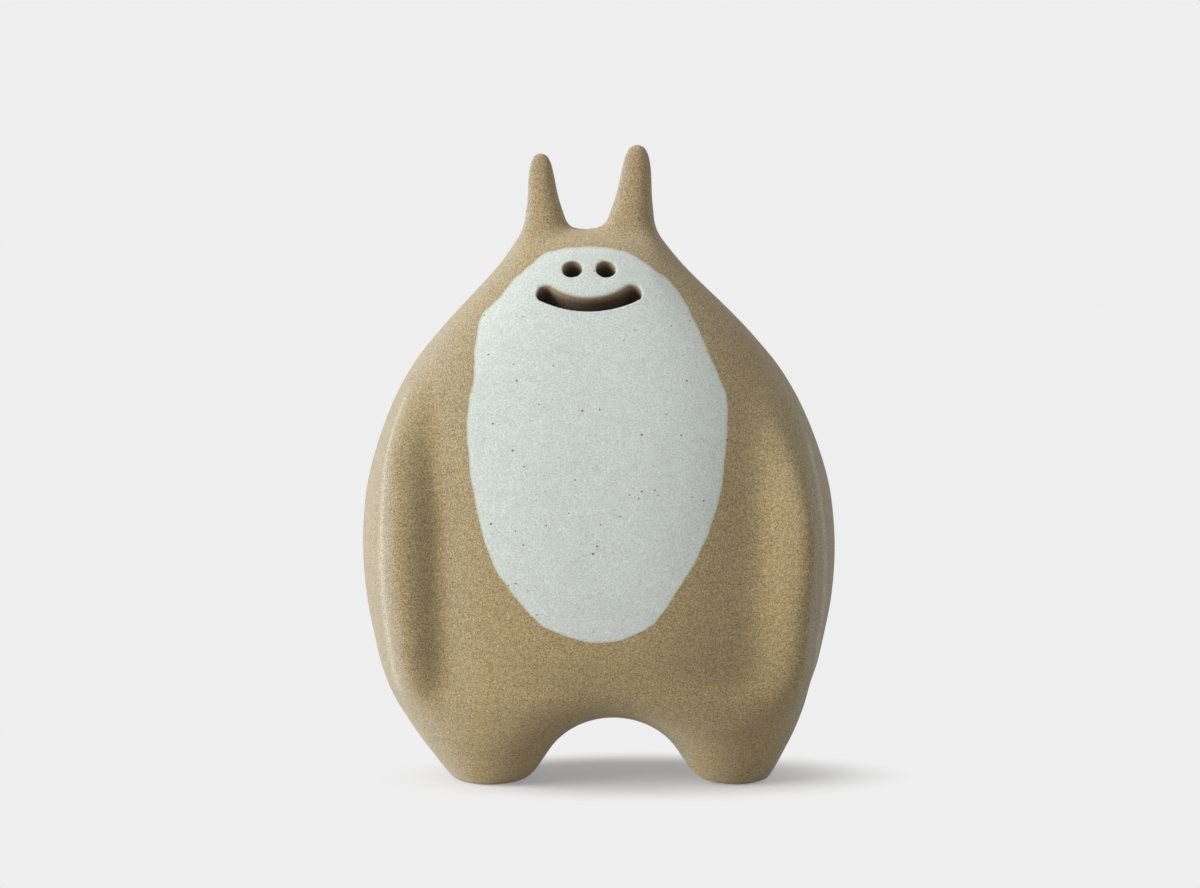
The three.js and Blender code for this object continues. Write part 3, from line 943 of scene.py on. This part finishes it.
def sanded_stoneware(tree, coords):
    """Unglazed stoneware, sponged and sanded: dry, with sand grains and a few iron grains in the body."""
    clay = sizes().clay
    body, bare_and_highlit, pale_and_lit = ((*tone, 1) for tone in (clay.body, clay.bare_and_highlit, clay.pale_and_lit))

    # Paler towards the top and towards both sides. On the left side, which faces the lamp, this is a painted
    # highlight; on the right side and on top it is partly sanded clay and partly painted sheen.
    facing = add(tree, "ShaderNodeSeparateXYZ", {0: add(tree, "ShaderNodeTexCoord").outputs["Normal"]})
    rubbed_and_lit = add(tree, "ShaderNodeMapRange", {0: facing.outputs["Z"], 1: -0.1, 2: 0.8, 4: 0.3})
    for low, high in ((-0.3, -0.85), (0.7, 0.97)):
        lit_and_rubbed_side = add(tree, "ShaderNodeMapRange", {0: facing.outputs["X"], 1: low, 2: high, 4: 0.9})
        rubbed_and_lit = add(tree, "ShaderNodeMath", {0: rubbed_and_lit, 1: lit_and_rubbed_side}, operation="MAXIMUM")
    handled_and_lit = add(tree, "ShaderNodeMix", {0: rubbed_and_lit, 6: body, 7: pale_and_lit}, data_type="RGBA").outputs[2]

    # A paler line along each arm, a little behind its ridge and only towards the front: partly clay worn
    # through, partly a painted highlight along the ridge.
    off_worn_highlight = add(tree, "ShaderNodeAttribute", attribute_name="off_worn_highlight").outputs["Fac"]
    off_line = add(tree, "ShaderNodeMath", {0: off_worn_highlight}, operation="ABSOLUTE")
    line = add(tree, "ShaderNodeMapRange", {0: off_line, 1: clay.worn_highlight, 2: 0, 4: 0.6})
    on_arm = add(tree, "ShaderNodeAttribute", attribute_name="worn").outputs["Fac"]
    worn = add(tree, "ShaderNodeMath", {0: line, 1: on_arm}, operation="MULTIPLY")
    ridge_highlit = add(tree, "ShaderNodeMix", {0: worn, 6: handled_and_lit, 7: bare_and_highlit}, data_type="RGBA").outputs[2]

    # Clouds a thumb wide, sponge strokes 22 mm long and 1.1 mm high, and sand grains coarse enough to show.
    drift = add(tree, "ShaderNodeTexNoise", {"Vector": coords, "Scale": 1 / (22 * MM), "Detail": 2})
    strokes = add(tree, "ShaderNodeMapping", {"Vector": coords, "Scale": (45, 45, 900)})
    sponge = add(tree, "ShaderNodeTexNoise", {"Vector": strokes, "Scale": 1, "Detail": 3})
    cloud = add(tree, "ShaderNodeMath", {0: drift, 1: sponge}, operation="ADD")
    level = add(tree, "ShaderNodeMapRange", {0: cloud, 1: 0.6, 2: 1.4, 3: 0.95, 4: 1.05})
    grain = add(tree, "ShaderNodeTexNoise", {"Vector": coords, "Scale": 1 / clay.grain, "Detail": 2})
    speckle = add(tree, "ShaderNodeMapRange", {0: grain, 1: 0.25, 2: 0.75, 3: 0.45, 4: 1.55})
    both = add(tree, "ShaderNodeMath", {0: level, 1: speckle}, operation="MULTIPLY")
    # Darkened inside the pierced holes as painted shade.
    toned = add(tree, "ShaderNodeHueSaturation", {"Value": both, "Color": shaded_in_holes(tree, ridge_highlit)})

    bump = add(tree, "ShaderNodeBump", {"Height": grain, "Distance": 0.06 * MM, "Strength": 0.7})
    return add(
        tree, "ShaderNodeBsdfPrincipled",
        {"Base Color": toned, "Normal": bump, "Roughness": 0.92, "Diffuse Roughness": 0.8,
         "Specular IOR Level": 0.25, "Sheen Weight": clay.dust, "Sheen Roughness": 0.5},
    )


def white_slip(tree, coords):
    """White slip, brushed on and fired unglazed: dry, faintly mottled and thin at its edges."""
    slip = sizes().slip
    white, under = (*slip.body, 1), (*sizes().clay.body, 1)

    # Thin at the panel's outline and at the rims of the holes.
    edge = add(tree, "ShaderNodeAttribute", attribute_name="slip_edge").outputs["Fac"]
    frayed = add(tree, "ShaderNodeMapRange", {0: edge, 1: 0, 2: 0.5 * MM, 3: 0.45, 4: 0})
    coat = add(tree, "ShaderNodeMix", {0: frayed, 6: white, 7: under}, data_type="RGBA").outputs[2]
    depth = add(tree, "ShaderNodeAttribute", attribute_name="depth").outputs["Fac"]
    rim = add(tree, "ShaderNodeMapRange", {0: depth, 1: 0.1 * MM, 2: 0.7 * MM})
    worn = add(tree, "ShaderNodeMix", {0: rim, 6: coat, 7: under}, data_type="RGBA").outputs[2]

    # Brushed blotches, and the slip's fine grain drawn as coarse as it needs to show.
    mottle = add(tree, "ShaderNodeTexNoise", {"Vector": coords, "Scale": 1 / (3 * MM), "Detail": 5})
    level = add(tree, "ShaderNodeMapRange", {0: mottle, 1: 0.35, 2: 0.65, 3: 0.98, 4: 1.02})
    grain = add(tree, "ShaderNodeTexNoise", {"Vector": coords, "Scale": 1 / slip.grain, "Detail": 2})
    speckle = add(tree, "ShaderNodeMapRange", {0: grain, 1: 0.25, 2: 0.75, 3: 0.8, 4: 1.18})
    both = add(tree, "ShaderNodeMath", {0: level, 1: speckle}, operation="MULTIPLY")
    # Darkened inside the pierced holes as painted shade.
    toned = add(tree, "ShaderNodeHueSaturation", {"Value": both, "Color": shaded_in_holes(tree, worn)})

    bump = add(tree, "ShaderNodeBump", {"Height": grain, "Distance": 0.03 * MM, "Strength": 0.6})
    return add(
        tree, "ShaderNodeBsdfPrincipled",
        {"Base Color": toned, "Normal": bump, "Roughness": 0.85, "Diffuse Roughness": 0.9,
         "Specular IOR Level": 0.3},
    )


def iron_speck(tree, coords):
    """Iron grains that melted through the slip: dark, dry and uneven."""
    blotch = add(tree, "ShaderNodeTexNoise", {"Vector": coords, "Scale": 1 / (0.3 * MM), "Detail": 1})
    tone = add(tree, "ShaderNodeMapRange", {0: blotch, 1: 0.3, 2: 0.7, 3: 0.7, 4: 1.4})
    toned = add(tree, "ShaderNodeHueSaturation", {"Value": tone, "Color": (*sizes().slip.speck, 1)})
    return add(tree, "ShaderNodeBsdfPrincipled", {"Base Color": toned, "Roughness": 0.7})


def studio_paper(tree, coords):
    """Matt white background paper, whose shadow fades out a little way from the figure."""
    stage = sizes().stage
    bounce, paper, lit = ((*tone, 1) for tone in (stage.bounce, stage.paper, stage.floor))
    seen = add(tree, "ShaderNodeLightPath").outputs["Is Camera Ray"]
    tone = add(tree, "ShaderNodeMix", {0: seen, 6: bounce, 7: paper}, data_type="RGBA").outputs[2]
    surface = add(
        tree, "ShaderNodeBsdfPrincipled", {"Base Color": tone, "Roughness": 1, "Specular IOR Level": 0}
    )
    glow = add(tree, "ShaderNodeEmission", {"Color": lit, "Strength": 1})

    # The shadow fades by the distance from a place beside the figure, squeezed into an oval.
    place = {"Vector": coords, "Location": (-8 * MM, 0, 0), "Scale": (0.75, 1.5, 1)}
    oval = add(tree, "ShaderNodeMapping", place)
    away = add(tree, "ShaderNodeVectorMath", {0: oval}, operation="LENGTH").outputs["Value"]
    limits = {0: away, 1: 24 * MM, 2: stage.shadow_reach, 3: 0.3}
    fade = add(tree, "ShaderNodeMapRange", limits, interpolation_type="SMOOTHSTEP")
    share = add(tree, "ShaderNodeMath", {0: fade, 1: seen}, operation="MULTIPLY")
    return add(tree, "ShaderNodeMixShader", {0: share, 1: surface, 2: glow})


# Iron specks

def speck_tree():
    """Nodes that scatter flat specks over the front of the surface they are given."""
    tree = bpy.data.node_groups.new("iron_specks", "GeometryNodeTree")
    for name, kind in (
        ("Coat", "NodeSocketGeometry"),
        ("Density", "NodeSocketFloat"),
        ("Radius", "NodeSocketFloat"),
        ("Seed", "NodeSocketInt"),
        ("Material", "NodeSocketMaterial"),
    ):
        tree.interface.new_socket(name, in_out="INPUT", socket_type=kind)
    tree.interface.new_socket("Specks", in_out="OUTPUT", socket_type="NodeSocketGeometry")
    given = add(tree, "NodeGroupInput").outputs
    normal = add(tree, "ShaderNodeSeparateXYZ", {0: add(tree, "GeometryNodeInputNormal")})
    front = add(tree, "FunctionNodeCompare", {0: normal.outputs["Y"], 1: -0.3}, operation="LESS_THAN")
    points = add(
        tree, "GeometryNodeDistributePointsOnFaces",
        {"Mesh": given["Coat"], "Selection": front, "Density": given["Density"], "Seed": given["Seed"]},
    )
    least, most = (0.4, 0.4, 0.15), (1, 1, 0.3)
    spread = add(
        tree, "FunctionNodeRandomValue", {0: least, 1: most, "Seed": given["Seed"]}, data_type="FLOAT_VECTOR"
    )
    speck = add(tree, "GeometryNodeMeshIcoSphere", {"Radius": given["Radius"], "Subdivisions": 2})
    placed = add(
        tree, "GeometryNodeInstanceOnPoints",
        {"Points": points, "Instance": speck, "Rotation": points.outputs["Rotation"], "Scale": spread},
    )
    real = add(tree, "GeometryNodeRealizeInstances", {0: placed})
    painted = add(tree, "GeometryNodeSetMaterial", {0: real, "Material": given["Material"]})
    add(tree, "NodeGroupOutput", {0: painted})
    return tree


def scatter_specks(coat):
    """A new object: iron specks on the slip coat."""
    slip = sizes().slip
    made = linked("slip_specks", coat.data.copy())
    tree = speck_tree()
    step = made.modifiers.new("specks", "NODES")
    step.node_group = tree
    per_metre = 1 / (10 * MM) ** 2
    values = {
        "Density": slip.specks * per_metre,
        "Radius": slip.speck_size,
        "Seed": slip.speck_seed,
        "Material": new_material("iron_speck", iron_speck),
    }
    for item in tree.interface.items_tree:
        if item.name in values:
            step[item.identifier] = values[item.name]
    bake(made)
    return made


# Finishing pieces

def keep(mesh, name, values):
    """Keeps a value at each point of a mesh."""
    mesh.attributes.new(name, "FLOAT", "POINT").data.foreach_set("value", values.astype(np.float32))


def read(items, name, kind=np.float32, width=1):
    """A value, or a row of values, of every item of a mesh."""
    values = np.empty(len(items) * width, kind)
    items.foreach_get(name, values)
    return values.reshape(-1, width) if width > 1 else values


class Workshop:
    """The wrapped clay body and what is cut from it, made once and shared by the operators."""

    def __init__(self):
        self.face = Face()
        self.clay = new_material("sanded_stoneware", sanded_stoneware)
        self.slip = new_material("white_slip", white_slip)
        lines = grid_lines()
        core_step = 1.2 * MM
        core_lines = [np.arange(line[0], line[-1] + core_step, core_step) for line in lines]
        # Where two forms meet, their fillet stands a sixth of its reach off them.
        join = sizes().arms.blend / 6
        thickness = sizes().panel.thickness
        body = wrapped_object("body", self.face.body_field, lines)
        core = wrapped_object("core", lambda x, y, z: torso_field(x, y, z) - join, core_lines)
        bed = wrapped_object("bed", lambda x, y, z: torso_field(x, y, z) + thickness, core_lines)
        prism = panel_prism()
        before = side_box("before", y1=SEAM_Y)
        self.torso = cut("torso", body, core, "INTERSECT")
        self.front = cut("front", self.torso, before, "INTERSECT")
        self.limbs = cut("limbs", body, core, "DIFFERENCE")
        self.coat = cut("coat", prism, bed, "DIFFERENCE")
        discard(body, core, bed, prism, before)

    def shade(self, mesh, points):
        """Shades a mesh by the body's own slope, so that joints don't show, and its cut faces flat."""
        level = self.face.body_field(*points.T)
        slope = gradient(self.face.body_field, points)
        slope /= np.maximum(np.linalg.norm(slope, axis=1, keepdims=True), 1e-9)
        mesh.polygons.foreach_set("use_smooth", np.ones(len(mesh.polygons), bool))
        corner_point = read(mesh.loops, "vertex_index", np.int32)
        sides = read(mesh.polygons, "loop_total", np.int32)
        flat = np.repeat(read(mesh.polygons, "normal", width=3), sides, axis=0)
        normal = slope[corner_point]
        on_skin = np.abs(level[corner_point]) < ON_SKIN
        with_face = (normal * flat).sum(axis=1) > 0.7
        normal = np.where((on_skin & with_face)[:, None], normal, flat)
        mesh.normals_split_custom_set(normal.tolist())

    def finish(self, made, material, node, slot):
        """Shades a piece, keeps what its material needs at its points, and hangs it on the frame."""
        mesh, clay = made.data, sizes().clay
        points = read(mesh.vertices, "co", width=3).astype(float)
        self.shade(mesh, points)
        mesh.materials.clear()
        mesh.materials.append(material)
        outer, rolled = arm_faces(*points.T)
        on_arm = np.abs(np.maximum(outer, rolled)) < ON_ARM
        worn_highlight_place = np.where(points[:, 0] < 0, clay.left_worn_highlight, clay.right_worn_highlight)
        # Depth below the skin, which darkens the holes' walls as painted shade.
        keep(mesh, "depth", np.maximum(-skin_field(*points.T), 0))
        # Where the paler line along each arm lies, and how far to the front it shows: partly a painted
        # highlight.
        keep(mesh, "off_worn_highlight", outer - rolled - worn_highlight_place)
        keep(mesh, "worn", ramp(points[:, 1], *WORN_HIGHLIGHT_Y) * on_arm)
        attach(made, "root")
        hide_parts(node)


workshop = None


def shop():
    """The workshop, opened at its first use."""
    global workshop
    if workshop is None:
        workshop = Workshop()
    return workshop


class FIGURINE_OT_shells(bpy.types.Operator):
    """Two half shells of the hollow torso, closed at the seam"""
    bl_idname = "figurine.shells"
    bl_label = "Torso Shells"

    def execute(self, context):
        bench = shop()
        behind = side_box("behind", y0=SEAM_Y)
        back = cut("back_shell_clay", bench.torso, behind, "INTERSECT")
        front = cut("front_shell_clay", bench.front, bench.coat, "DIFFERENCE")
        discard(behind)
        bench.finish(front, bench.clay, "front_shell", "tan_stoneware")
        bench.finish(back, bench.clay, "back_shell", "tan_stoneware")
        return {"FINISHED"}


def outline_distance(points, line):
    """Distance of points from a closed line, both seen from the front."""
    nearest = np.full(len(points), FAR)
    for a, b in zip(line, np.roll(line, -1, axis=0)):
        along = np.clip(((points - a) @ (b - a)) / ((b - a) @ (b - a)), 0, 1)
        nearest = np.minimum(nearest, np.linalg.norm(points - a - along[:, None] * (b - a), axis=1))
    return nearest


class FIGURINE_OT_slip_panel(bpy.types.Operator):
    """White slip coat, flush in its bed in the front shell"""
    bl_idname = "figurine.slip_panel"
    bl_label = "Slip Panel"

    def execute(self, context):
        bench = shop()
        panel = cut("slip_panel_coat", bench.front, bench.coat, "INTERSECT")
        bench.finish(panel, bench.slip, "slip_panel", "white_slip")
        points = read(panel.data.vertices, "co", width=3)[:, [0, 2]]
        keep(panel.data, "slip_edge", outline_distance(points, panel_line()))
        specks = scatter_specks(panel)
        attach(specks, "root")
        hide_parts("slip_panel")
        return {"FINISHED"}


def part_sides(body, nodes, parting, **limits):
    """Parts a body into its left and right pieces, and finishes both."""
    bench = shop()
    for node, side in zip(nodes, ("x1", "x0")):
        half = side_box("half", **{side: parting}, **limits)
        piece = cut(node + "_clay", body, half, "INTERSECT")
        discard(half)
        bench.finish(piece, bench.clay, node, "tan_stoneware")


class FIGURINE_OT_horns(bpy.types.Operator):
    """Two horns, luted to the crown"""
    bl_idname = "figurine.horns"
    bl_label = "Horns"

    def execute(self, context):
        part_sides(shop().limbs, ("left_horn", "right_horn"), sizes().face.middle, z0=crown() - HORN_CUT)
        return {"FINISHED"}


def part_limbs(nodes, operation):
    """Parts arms from legs where an arm's field meets a leg's, and finishes the pair that is asked for."""
    low, high = cad_box
    top = crown() - HORN_CUT
    step = 1.5 * MM
    edge = 6 * MM
    lines = [np.arange(a - edge, b + edge, step) for a, b in zip(low, (*high[:2], top))]

    def leg_side(x, y, z):
        return leg_field(x, y, z) - arm_field(x, y, z)

    cutter = wrapped_object("leg_share", leg_side, lines, rounds=0)
    below = side_box("below", z1=top)
    both = cut("both", shop().limbs, below, "INTERSECT")
    pair = cut("pair", both, cutter, operation)
    part_sides(pair, nodes, sizes().legs.arch_x)
    discard(cutter, below, both, pair)


class FIGURINE_OT_arms(bpy.types.Operator):
    """Two arms, pressed along the torso's sides"""
    bl_idname = "figurine.arms"
    bl_label = "Arms"

    def execute(self, context):
        part_limbs(("left_arm", "right_arm"), "DIFFERENCE")
        return {"FINISHED"}


class FIGURINE_OT_legs(bpy.types.Operator):
    """Two stub legs with flat soles"""
    bl_idname = "figurine.legs"
    bl_label = "Legs"

    def execute(self, context):
        part_limbs(("left_leg", "right_leg"), "INTERSECT")
        return {"FINISHED"}


class FIGURINE_OT_stage(bpy.types.Operator):
    """Pale floor, one broad soft lamp, even studio light and the camera"""
    bl_idname = "figurine.stage"
    bl_label = "Stage"

    def execute(self, context):
        stage = sizes().stage
        scene = context.scene
        half = 40.0
        corners = [(-half, -half, 0), (half, -half, 0), (half, half, 0), (-half, half, 0)]
        floor = mesh_object("floor", corners, [(0, 1, 2, 3)])
        floor.data.materials.append(new_material("studio_paper", studio_paper))

        lamp = bpy.data.lights.new("broad_lamp", "SUN")
        lamp.energy = stage.lamp_strength
        lamp.angle = stage.lamp_size
        held = bpy.data.objects.new("broad_lamp", lamp)
        towards = Vector((
            -math.sin(stage.lamp_turn) * math.cos(stage.lamp_rise),
            -math.cos(stage.lamp_turn) * math.cos(stage.lamp_rise),
            math.sin(stage.lamp_rise),
        ))
        held.rotation_euler = towards.to_track_quat("Z", "Y").to_euler()
        scene.collection.objects.link(held)

        world = bpy.data.worlds.new("studio")
        world.use_nodes = True
        tree = world.node_tree
        sky = tree.nodes["Background"]
        sky.inputs["Color"].default_value = (1, 1, 1, 1)
        aimed = add(tree, "ShaderNodeSeparateXYZ", {0: add(tree, "ShaderNodeTexCoord").outputs["Generated"]})
        shade = add(tree, "ShaderNodeMapRange", {0: aimed.outputs["Z"], 3: stage.horizon, 4: stage.zenith})
        tree.links.new(shade.outputs[0], sky.inputs["Strength"])
        scene.world = world

        view = bpy.data.cameras.new("camera")
        view.lens = stage.lens
        view.sensor_width = 36
        view.clip_end = 100
        camera = bpy.data.objects.new("camera", view)
        back = Vector((0, -math.cos(stage.elevation), math.sin(stage.elevation)))
        aim = Vector((stage.aside, 0, stage.aim))
        camera.location = aim + back * stage.distance
        camera.rotation_euler = back.to_track_quat("Z", "Y").to_euler()
        scene.collection.objects.link(camera)
        scene.camera = camera
        scene.view_settings.view_transform = "Standard"
        return {"FINISHED"}


class FIGURINE_PT_panel(bpy.types.Panel):
    """Lists the figurine's operators"""
    bl_label = "Stoneware Figurine"
    bl_idname = "FIGURINE_PT_panel"
    bl_space_type = "VIEW_3D"
    bl_region_type = "UI"
    bl_category = "Figurine"

    def draw(self, context):
        for operator in OPERATORS:
            self.layout.operator(operator.bl_idname)


OPERATORS = (
    FIGURINE_OT_shells,
    FIGURINE_OT_slip_panel,
    FIGURINE_OT_horns,
    FIGURINE_OT_arms,
    FIGURINE_OT_legs,
    FIGURINE_OT_stage,
)
CLASSES = (
    TorsoSizes, ArmSizes, LegSizes, HornSizes, PanelSizes, FaceSizes, ClayFinish, SlipFinish, StageSettings,
    FigurineSettings, *OPERATORS, FIGURINE_PT_panel,
)


def register():
    for kind in CLASSES:
        bpy.utils.register_class(kind)
    bpy.types.Scene.figurine = PointerProperty(type=FigurineSettings)


def unregister():
    del bpy.types.Scene.figurine
    for kind in reversed(CLASSES):
        bpy.utils.unregister_class(kind)


def main():
    """Sets the stage and models every piece."""
    register()
    bpy.ops.figurine.stage()
    bpy.ops.figurine.shells()
    bpy.ops.figurine.slip_panel()
    bpy.ops.figurine.horns()
    bpy.ops.figurine.arms()
    bpy.ops.figurine.legs()
    discard(shop().torso, shop().front, shop().limbs, shop().coat)


if __name__ == "__main__":
    main()
